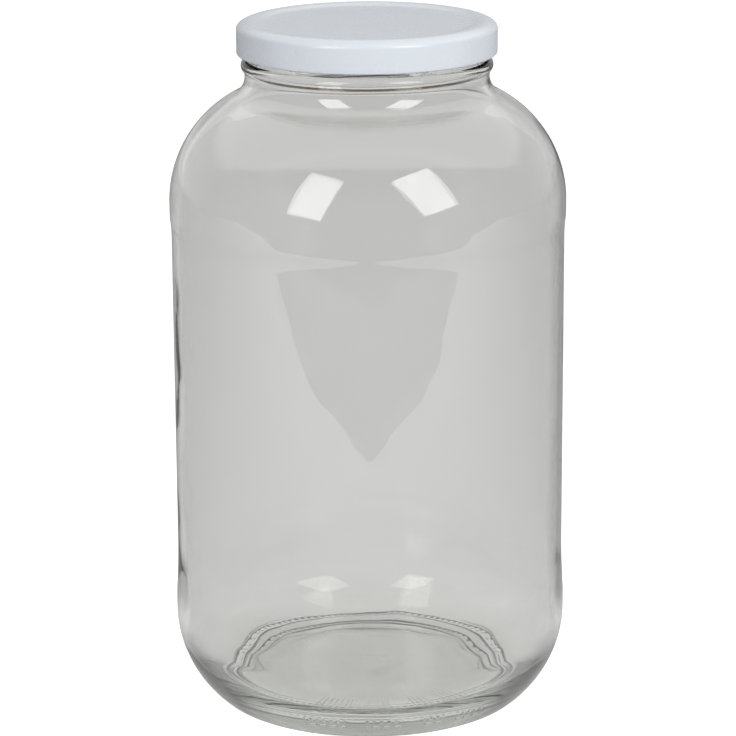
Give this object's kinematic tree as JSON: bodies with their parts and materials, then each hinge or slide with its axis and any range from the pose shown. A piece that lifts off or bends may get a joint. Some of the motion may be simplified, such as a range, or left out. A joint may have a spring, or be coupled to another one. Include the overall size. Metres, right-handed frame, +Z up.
{
  "type": "canning jar",
  "caption": "Large clear glass canning jar with a wide mouth, a straight side and rounded shoulder and heel, shut with a white enamelled steel lug lid.",
  "frame": {"origin": "centre of the ring that the jar stands on", "axes": "+Z up along the jar's axis, towards the lid; -Y is the front"},
  "size_m": [0.1586, 0.1586, 0.2772],
  "materials": {
    "clear_glass": "clear soda-lime glass with a faint grey-green cast, fire-polished, slightly wavy",
    "white_enamel": "gloss white enamel on pressed steel, faint scuffs, tan lacquer on the inside"
  },
  "bodies": {
    "root": {"glass_jar": "clear_glass", "lid": "white_enamel"}
  },
  "joints": []
}
